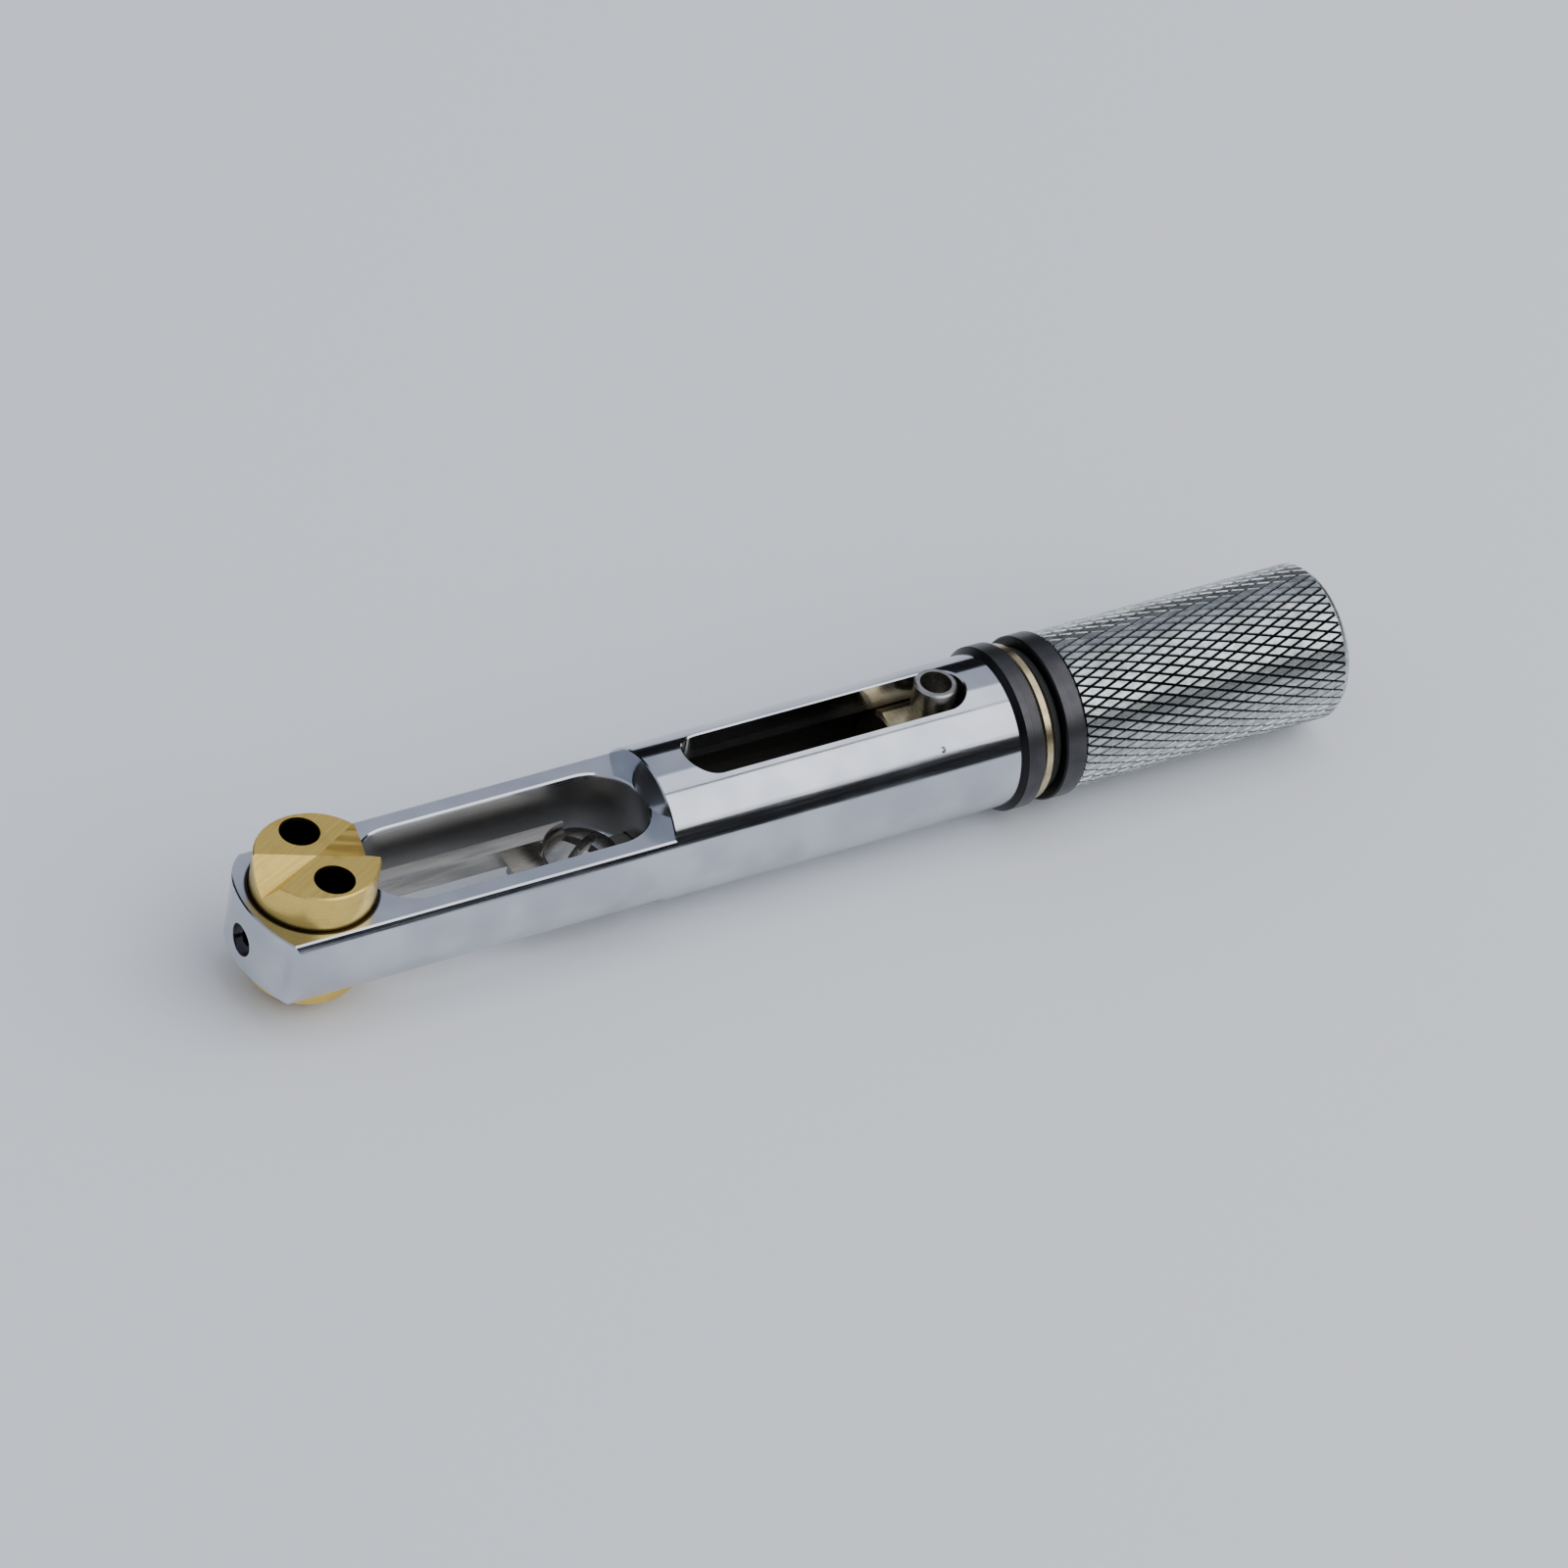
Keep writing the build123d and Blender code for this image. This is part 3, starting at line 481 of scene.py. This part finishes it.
@dataclass(frozen=True)
class MilledBrass:
    """Brass bar, turned on its side and fly cut on its faces, never lacquered.

    The cutter leaves fine straight lines that give the faces a satin sheen, and the
    turned side is smoother and reflects what stands round it.
    """

    name: str = "milled_brass"
    light: str = "F2D379"
    shade: str = "DFBC62"
    stain: str = "A5823E"
    hole_shade: str = "5E432A"
    centre: float = HEAD_X
    face_height: float = HEAD_HIGH.z
    bore_radius: float = 1.5 * MM
    bore_offset: float = 2.7 * MM
    bore_depth: float = 4.0 * MM
    line_pitch: float = 0.1 * MM
    line_length: float = 7.0 * MM
    line_turn: float = radians(27)
    hatch_pitch: float = 0.24 * MM
    hatch_turn: float = radians(8)
    hatch_share: float = 5.0
    ring_pitch: float = 0.12 * MM
    mark_depth: float = 0.004 * MM
    blotch: float = 1.8 * MM
    stain_share: float = 0.35
    mark_rough: tuple[float, float] = (0.24, 0.32)
    face_rough: float = 0.1

    def build(self) -> bpy.types.Material:
        """Lay straight lines on the faces, a hatch on the notches' slopes and rings on the side.

        Returns:
            The finished material.
        """
        g = Graph(self.name)
        upright = g.add("SeparateXYZ", (g.facing,), "Z")
        face = g.add("MapRange", (g.add("Math", (upright,), **ABSOLUTE), 0.3, 0.7), **EASED)
        lines = g.grain((self.line_length, self.line_pitch, self.line_length), self.line_turn)
        rings = g.rings(self.ring_pitch, "Z")
        blotches = g.grain((self.blotch,) * 3)
        marks = g.add("Mix", {0: face, 2: rings, 3: lines})
        hatch_size = (self.line_length, self.hatch_pitch, self.line_length)
        hatch = g.grain(hatch_size, self.hatch_turn, detail=2)
        leaning = g.add("MapRange", (upright, 0.4, 0.5), **EASED)
        short_of_flat = g.add("MapRange", (upright, 0.85, 0.95, 1, 0), **EASED)
        notch = g.add("Math", (leaning, short_of_flat), **MULTIPLY)
        marks = g.add("Mix", {0: notch, 2: marks, 3: hatch})

        tone = g.add("MapRange", (marks, 0.25, 0.75), **EASED)
        colour = g.add("Mix", {0: tone, 6: srgb(self.shade), 7: srgb(self.light)}, 2, **COLOUR)
        stained = g.add("MapRange", (blotches, 0.55, 0.8, 0, self.stain_share), **EASED)
        colour = g.add("Mix", {0: stained, 6: colour, 7: srgb(self.stain)}, 2, **COLOUR)
        # painted shade on the walls of the two blind holes
        shaded_holes = self.holes_mask(g)
        colour = g.add("Mix", {0: shaded_holes, 6: colour, 7: srgb(self.hole_shade)}, 2, **COLOUR)

        marked = g.add("MapRange", (marks, 0.3, 0.7, *self.mark_rough), **EASED)
        satin = g.add("Math", (face, self.face_rough), **MULTIPLY)
        rough = g.add("Math", (marked, satin), **ADD)
        extra = g.add("Math", (notch, self.hatch_share), **MULTIPLY)
        deeper = g.add("Math", (1.0, extra), **ADD)
        height = g.add("Math", (marks, deeper), **MULTIPLY)
        bump = g.add("Bump", {"Height": height, "Distance": self.mark_depth})
        return g.finish(Base_Color=colour, Metallic=1.0, Roughness=rough, Normal=bump)

    def holes_mask(self, g: Graph) -> Socket:
        """Find the walls of the two blind holes, where shade is painted.

        Args:
            g: The material's node tree.

        Returns:
            1 in the holes, below their rims and above their floors, and 0 elsewhere.
        """
        along = g.add("Math", (g.add("SeparateXYZ", (g.place,), "X"), self.centre), **SUBTRACT)
        side = g.add("Math", (g.add("SeparateXYZ", (g.place,), "Y"),), **ABSOLUTE)
        across = g.add("Math", (side, self.bore_offset), **SUBTRACT)
        up = g.add("SeparateXYZ", (g.place,), "Z")
        distance = g.add("VectorMath", (g.add("CombineXYZ", (along, across)),), "Value", **LENGTH)
        wall = (self.bore_radius + 0.01 * MM, self.bore_radius + 0.05 * MM)
        rim = (self.face_height - 0.5 * MM, self.face_height - 0.1 * MM)
        floor = self.face_height - self.bore_depth
        near = g.add("MapRange", (distance, *wall, 1, 0), **EASED)
        below = g.add("MapRange", (up, *rim, 1, 0), **EASED)
        above = g.add("MapRange", (up, floor - 0.1 * MM, floor), **EASED)
        return g.add("Math", (g.add("Math", (near, below), **MULTIPLY), above), **MULTIPLY)


@dataclass(frozen=True)
class TurnedAlloy:
    """A yellow or silvery copper alloy, turned on a lathe and left bright.

    Rings from the tool run round the piece, under a thin uneven tarnish.
    """

    name: str
    light: str
    shade: str
    rough: float = 0.2
    rough_range: float = 0.12
    ring_pitch: float = 0.1 * MM
    ring_depth: float = 0.004 * MM
    ring_share: float = 0.5
    blotch: float = 1.2 * MM

    def build(self) -> bpy.types.Material:
        """Lay turning rings and tarnish in equal parts.

        Returns:
            The finished material.
        """
        g = Graph(self.name)
        rings = g.rings(self.ring_pitch)
        blotches = g.grain((self.blotch,) * 3, detail=4)
        ringed = g.add("Math", (rings, self.ring_share), **MULTIPLY)
        blotched = g.add("Math", (blotches, 1 - self.ring_share), **MULTIPLY)
        marks = g.add("Math", (ringed, blotched), **ADD)
        tone = g.add("MapRange", (marks, 0.35, 0.65), **EASED)
        colour = g.add("Mix", {0: tone, 6: srgb(self.light), 7: srgb(self.shade)}, 2, **COLOUR)
        limits = (self.rough, self.rough + self.rough_range)
        rough = g.add("MapRange", (marks, 0.3, 0.7, *limits), **EASED)
        bump = g.add("Bump", {"Height": rings, "Distance": self.ring_depth})
        return g.finish(Base_Color=colour, Metallic=1.0, Roughness=rough, Normal=bump)


@dataclass(frozen=True)
class BlackRubber:
    """Nitrile rubber, moulded and ground, which stays matt and collects dust."""

    name: str = "moulded_nitrile_rubber"
    light: str = "2A2A2A"
    shade: str = "131313"
    speck: float = 0.2 * MM
    speck_depth: float = 0.02 * MM
    roughness: tuple[float, float] = (0.55, 0.75)
    ior: float = 1.52

    def build(self) -> bpy.types.Material:
        """Speckle the ground skin.

        Returns:
            The finished material.
        """
        g = Graph(self.name)
        specks = g.grain((self.speck,) * 3, detail=5)
        tone = g.add("MapRange", (specks, 0.4, 0.7), **EASED)
        colour = g.add("Mix", {0: tone, 6: srgb(self.shade), 7: srgb(self.light)}, 2, **COLOUR)
        rough = g.add("MapRange", (specks, 0.3, 0.7, *self.roughness), **EASED)
        bump = g.add("Bump", {"Height": specks, "Distance": self.speck_depth})
        return g.finish(Base_Color=colour, Roughness=rough, IOR=self.ior, Normal=bump)


class Finish(Enum):
    """The finishes of the tool, by the record's slot names."""

    POLISHED = "polished_steel"
    MACHINED = "machined_steel"
    BLACKENED = "blackened_steel"
    KNURLED = "knurled_steel"
    BRASS = "brass"
    PALE_BRASS = "pale_brass"
    BRONZE = "bronze"
    RUBBER = "black_rubber"


RECIPES: dict[Finish, Callable[[], bpy.types.Material]] = {
    Finish.POLISHED: PolishedSteel().build,
    Finish.MACHINED: MachinedSteel().build,
    Finish.BLACKENED: BlackenedSteel().build,
    Finish.KNURLED: KnurledSteel().build,
    Finish.BRASS: MilledBrass().build,
    Finish.PALE_BRASS: TurnedAlloy("turned_nickel_brass", "D6C8A2", "AE9E78").build,
    Finish.BRONZE: TurnedAlloy("turned_bronze", "D2BE95", "A88F62").build,
    Finish.RUBBER: BlackRubber().build,
}


# ------------------------------------------------------------------ modelling helpers
def clear_selection() -> None:
    """Leave edit mode's objects, and deselect everything."""
    if bpy.context.object and bpy.context.object.mode != "OBJECT":
        bpy.ops.object.mode_set(mode="OBJECT")
    bpy.ops.object.select_all(action="DESELECT")


def pick_points(piece: bpy.types.Object, test: Callable[[Vector], bool]) -> None:
    """Select the points of a piece that pass a test.

    Args:
        piece: The mesh object that is being edited.
        test: Takes a point and says whether it is wanted.
    """
    bpy.ops.mesh.select_mode(type="VERT")
    bpy.ops.mesh.select_all(action="DESELECT")
    bpy.ops.object.mode_set(mode="OBJECT")
    for vertex in piece.data.vertices:
        vertex.select = test(vertex.co)
    bpy.ops.object.mode_set(mode="EDIT")


def turned_tube(name: str, start: float, end: float, radius: float, sides: int) -> bpy.types.Object:
    """Add an open tube about the long axis, and leave it in edit mode with nothing selected.

    Args:
        name: The piece's name.
        start: X of its front end.
        end: X of its rear end.
        radius: Its radius.
        sides: Faces round it.

    Returns:
        The new object, with its place in its mesh.
    """
    clear_selection()
    bpy.ops.mesh.primitive_cylinder_add(
        vertices=sides, radius=radius, depth=end - start, end_fill_type="NOTHING",
        location=((start + end) / 2, 0, 0), rotation=(0, pi / 2, 0),
    )
    piece = bpy.context.object
    piece.name = name
    bpy.ops.object.transform_apply(location=True, rotation=True, scale=True)
    bpy.ops.object.mode_set(mode="EDIT")
    bpy.ops.mesh.select_all(action="DESELECT")
    return piece


def pull_ring(piece: bpy.types.Object, x: float, steps: list[tuple[float, float]]) -> None:
    """Extrude the open rim at x through rings given as (x, radius), one after another.

    Args:
        piece: The mesh object that is being edited.
        x: Where its open rim lies now.
        steps: The x and radius of each new ring.
    """
    pick_points(piece, lambda p: abs(p.x - x) < TINY)
    bpy.ops.object.mode_set(mode="OBJECT")
    rim = next(v.co for v in piece.data.vertices if v.select)
    radius = (rim.y**2 + rim.z**2) ** 0.5
    bpy.ops.object.mode_set(mode="EDIT")
    for new_x, new_radius in steps:
        grow = new_radius / radius
        bpy.ops.mesh.extrude_edges_move(TRANSFORM_OT_translate={"value": (new_x - x, 0, 0)})
        bpy.ops.transform.resize(value=(1, grow, grow), center_override=(new_x, 0, 0))
        x, radius = new_x, new_radius


def finish_piece(angle: float) -> None:
    """Merge the edited piece's doubles, turn its faces outwards and smooth its gentle edges.

    Args:
        angle: The largest angle between faces that is smoothed, in radians.
    """
    bpy.ops.mesh.select_all(action="SELECT")
    bpy.ops.mesh.remove_doubles(threshold=TINY)
    bpy.ops.mesh.normals_make_consistent(inside=False)
    bpy.ops.object.mode_set(mode="OBJECT")
    bpy.ops.object.shade_smooth_by_angle(angle=angle)


# ------------------------------------------------------------------ pieces
@dataclass
class KnurledSleeve:
    """The handle's knurled sleeve: a tube with a rolled diamond knurl on its outside."""

    name: str = "knurled_sleeve"
    node: str = "handle_sleeve"
    around: int = 48
    along: int = 10
    groove_width: float = 0.2 * MM
    groove_depth: float = 0.24 * MM
    front_rim: float = 0.12 * MM
    end_round: float = SLEEVE_ROUND
    round_steps: int = 3
    bore_radius: float = 4.6 * MM
    outer_radius: float = SLEEVE_HIGH.z
    smooth_angle: float = radians(32)

    def build(self) -> bpy.types.Object:
        """Knurl a tube, round its end, bore it and fit it to the handle.

        Returns:
            The finished mesh, riding on the handle.
        """
        front, rear = SLEEVE_LOW.x, SLEEVE_HIGH.x
        start, end = front + self.front_rim, rear - self.end_round
        base = self.outer_radius - self.groove_depth
        piece = turned_tube(self.name, start, end, base, self.around)
        self.lay_diamonds(piece, base)
        angles = [pi / 2 * i / self.round_steps for i in range(1, self.round_steps + 1)]
        rounding = [
            (end + self.end_round * sin(t), base - self.end_round * (1 - cos(t))) for t in angles
        ]
        inner = self.bore_radius
        pull_ring(piece, end, [*rounding, (rear, inner)])
        pull_ring(piece, start, [(front, base - self.front_rim), (front, inner)])
        # the bore's two rims are joined through the sleeve
        pick_points(piece, lambda p: (p.y**2 + p.z**2) ** 0.5 < inner + 10 * TINY)
        bpy.ops.mesh.select_mode(type="EDGE")
        bpy.ops.mesh.bridge_edge_loops()
        finish_piece(self.smooth_angle)
        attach(piece, "handle")
        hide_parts(self.node)
        return piece

    def lay_diamonds(self, piece: bpy.types.Object, base: float) -> None:
        """Cut the tube's skin into diamonds, and raise each one with sloping walls.

        Args:
            piece: The open tube, in edit mode.
            base: Its radius, which is that of the grooves.
        """
        self.cut_lengths(piece)
        corners = len(piece.data.vertices)
        bpy.ops.mesh.select_all(action="SELECT")
        bpy.ops.mesh.poke()
        # the new middles lie on chords, so they are moved out to the circle
        bpy.ops.mesh.select_mode(type="VERT")
        bpy.ops.mesh.select_all(action="DESELECT")
        bpy.ops.object.mode_set(mode="OBJECT")
        for vertex in piece.data.vertices[corners:]:
            vertex.select = True
        bpy.ops.object.mode_set(mode="EDIT")
        out = 1 / cos(pi / self.around)
        bpy.ops.transform.resize(value=(1, out, out), center_override=(0, 0, 0))
        # the tube's own edges inside its skin are dissolved, which leaves the diamonds
        bpy.ops.mesh.select_mode(type="EDGE")
        bpy.ops.mesh.select_all(action="DESELECT")
        bpy.ops.object.mode_set(mode="OBJECT")
        rims = self.rim_edges(piece)
        for edge in piece.data.edges:
            own = edge.vertices[0] < corners and edge.vertices[1] < corners
            edge.select = own and edge.index not in rims
        bpy.ops.object.mode_set(mode="EDIT")
        bpy.ops.mesh.dissolve_edges(use_verts=False)
        bpy.ops.mesh.select_mode(type="FACE")
        bpy.ops.mesh.select_all(action="SELECT")
        bpy.ops.mesh.inset(
            thickness=self.groove_width / 2, depth=self.outer_radius - base,
            use_individual=True, use_boundary=True, use_even_offset=True,
        )

    def cut_lengths(self, piece: bpy.types.Object) -> None:
        """Divide the tube's long edges, so that it is a grid of cells.

        Args:
            piece: The open tube, in edit mode.
        """
        bpy.ops.mesh.select_mode(type="EDGE")
        bpy.ops.mesh.select_all(action="DESELECT")
        bpy.ops.object.mode_set(mode="OBJECT")
        points = piece.data.vertices
        for edge in piece.data.edges:
            a, b = (points[i].co for i in edge.vertices)
            edge.select = abs(a.x - b.x) > TINY
        bpy.ops.object.mode_set(mode="EDIT")
        bpy.ops.mesh.subdivide(number_cuts=self.along - 1)
        # leaving edit mode writes the new points to the mesh
        bpy.ops.object.mode_set(mode="OBJECT")
        bpy.ops.object.mode_set(mode="EDIT")

    def rim_edges(self, piece: bpy.types.Object) -> set[int]:
        """Find the edges of the tube's two open ends.

        Args:
            piece: The open tube, in object mode.

        Returns:
            The edges' numbers.
        """
        points = piece.data.vertices
        ends = [limit(v.co.x for v in points) for limit in (min, max)]
        at_end = {v.index for v in points if any(abs(v.co.x - x) < TINY for x in ends)}
        return {e.index for e in piece.data.edges if set(e.vertices) <= at_end}


# ------------------------------------------------------------------ studio
@dataclass(frozen=True)
class Panel:
    """A soft light panel: its tilt across the tool in degrees, size in metres and watts."""

    name: str
    tilt: float
    size: tuple[float, float]
    power: float


@dataclass
class Studio:
    """A pale floor, soft panels overhead, dark flags round the set, and the camera."""

    azimuth: float = radians(-37.0)
    elevation: float = radians(41.09)
    roll: float = radians(10.84)
    distance: float = 0.683
    aim: tuple[float, float, float] = (-5.91 * MM, -7.03 * MM, 7.73 * MM)
    lens: float = 218.6
    floor_size: float = 6.0
    floor_gap: float = 0.01 * MM
    floor_colour: str = "ECEEF0"
    panels: tuple[Panel, ...] = (
        Panel("top_panel", 4.0, (1.3, 0.40), 1.6),
        Panel("front_panel", -40.0, (1.3, 0.90), 5.8),
    )
    panel_away: float = 0.9
    panel_lead: float = radians(26.7)
    seam_away: float = 0.8
    seam_tilt: float = -11.0
    seam_size: tuple[float, float] = (1.2, 0.03)
    flag_radius: float = 0.9
    flag_height: float = 0.45
    flag_colour: str = "0A0A0B"
    sky_colour: str = "C3CAD9"
    sky_strength: float = 0.95

    def build(self) -> None:
        """Set the floor, the lights and the camera."""
        self.lay_floor()
        self.hang_lights()
        self.stand_flags()
        self.aim_camera()

    def lay_floor(self) -> None:
        """Lay the floor under the tool's lowest point."""
        clear_selection()
        height = CAD_BOX[0][2] - self.floor_gap
        bpy.ops.mesh.primitive_plane_add(size=self.floor_size, location=(0, 0, height))
        floor = bpy.context.object
        floor.name = "studio_floor"
        g = Graph("matt_paper")
        floor.data.materials.append(g.finish(Base_Color=srgb(self.floor_colour), Roughness=0.9))

    def hang_lights(self) -> None:
        """Hang the soft panels along the tool, and light the sky behind them."""
        for panel in self.panels:
            light = bpy.data.lights.new(panel.name, "AREA")
            light.shape = "RECTANGLE"
            light.size, light.size_y = panel.size
            light.energy = panel.power
            lamp = bpy.data.objects.new(panel.name, light)
            bpy.context.scene.collection.objects.link(lamp)
            lamp.matrix_world = spot_matrix(self.above(panel.tilt, self.panel_away))
        world = bpy.data.worlds.new("studio")
        world.use_nodes = True
        sky = world.node_tree.nodes["Background"].inputs
        sky["Color"].default_value = srgb(self.sky_colour)
        sky["Strength"].default_value = self.sky_strength
        bpy.context.scene.world = world

    def above(self, tilt: float, away: float) -> Vector:
        """Return the point over the tool at this tilt across it, in degrees, and this distance."""
        lean, lead = radians(tilt), self.panel_lead
        return away * Vector((sin(lead), cos(lead) * sin(lean), cos(lead) * cos(lean)))

    def stand_flags(self) -> None:
        """Stand a low black wall round the set, and hang a black strip between the panels."""
        clear_selection()
        bpy.ops.mesh.primitive_plane_add(size=1)
        strip = bpy.context.object
        strip.name = "seam_flag"
        strip.scale = (*self.seam_size, 1)
        bpy.ops.object.transform_apply(location=True, rotation=True, scale=True)
        strip.data.transform(spot_matrix(self.above(self.seam_tilt, self.seam_away)))
        clear_selection()
        bpy.ops.mesh.primitive_cylinder_add(
            vertices=64, radius=self.flag_radius, depth=self.flag_height,
            end_fill_type="NOTHING", location=(0, 0, self.flag_height / 2),
        )
        wall = bpy.context.object
        wall.name = "black_flag"
        g = Graph("black_velvet")
        velvet = g.finish(Base_Color=srgb(self.flag_colour), Roughness=1.0)
        for flag in (strip, wall):
            flag.data.materials.append(velvet)
            flag.visible_camera = False
            flag.visible_diffuse = False
            flag.visible_shadow = False

    def aim_camera(self) -> None:
        """Place the camera by its angles about the aim point."""
        flat, rise = (sin(self.azimuth), -cos(self.azimuth)), cos(self.elevation)
        back = Vector((flat[0] * rise, flat[1] * rise, sin(self.elevation)))
        right = (-back).cross(Vector((0, 0, 1))).normalized()
        up = right.cross(-back)
        side = right * cos(self.roll) + up * sin(self.roll)
        top = up * cos(self.roll) - right * sin(self.roll)
        turn = Matrix((side, top, back)).transposed().to_4x4()
        lens = bpy.data.cameras.new("camera")
        lens.lens = self.lens
        lens.sensor_width = 36.0
        lens.clip_start = 0.01
        lens.dof.use_dof = False
        camera = bpy.data.objects.new("camera", lens)
        bpy.context.scene.collection.objects.link(camera)
        camera.matrix_world = Matrix.Translation(Vector(self.aim) + back * self.distance) @ turn
        bpy.context.scene.camera = camera


def spot_matrix(spot: Vector) -> Matrix:
    """Turn a lamp to the origin, with its long side along X.

    Args:
        spot: Where the lamp hangs.

    Returns:
        The lamp's place and turn.
    """
    back = spot.normalized()
    top = back.cross(Vector((1, 0, 0))).normalized()
    side = top.cross(back)
    return Matrix.Translation(spot) @ Matrix((side, top, back)).transposed().to_4x4()


# ------------------------------------------------------------------ assembly
def dress_nodes(materials: dict[str, bpy.types.Material]) -> None:
    """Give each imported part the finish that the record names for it.

    Args:
        materials: The finished materials by slot name.
    """
    slots = {part["node"]: part["material_slot"] for part in frame["record"]["subparts"]}
    for name, node in frame["nodes"].items():
        slot = slots[name]
        for place in node.material_slots:
            place.material = materials[slot]
        LOG.info("%s: %s", name, slot)


def main() -> None:
    """Build the finishes, the pieces and the studio, in order."""
    materials = {finish.value: RECIPES[finish]() for finish in Finish}
    dress_nodes(materials)
    sleeve = KnurledSleeve().build()
    sleeve.data.materials.append(materials[Finish.KNURLED.value])
    LOG.info("%s: %d faces", sleeve.name, len(sleeve.data.polygons))
    Studio().build()


if __name__ == "__main__":
    main()
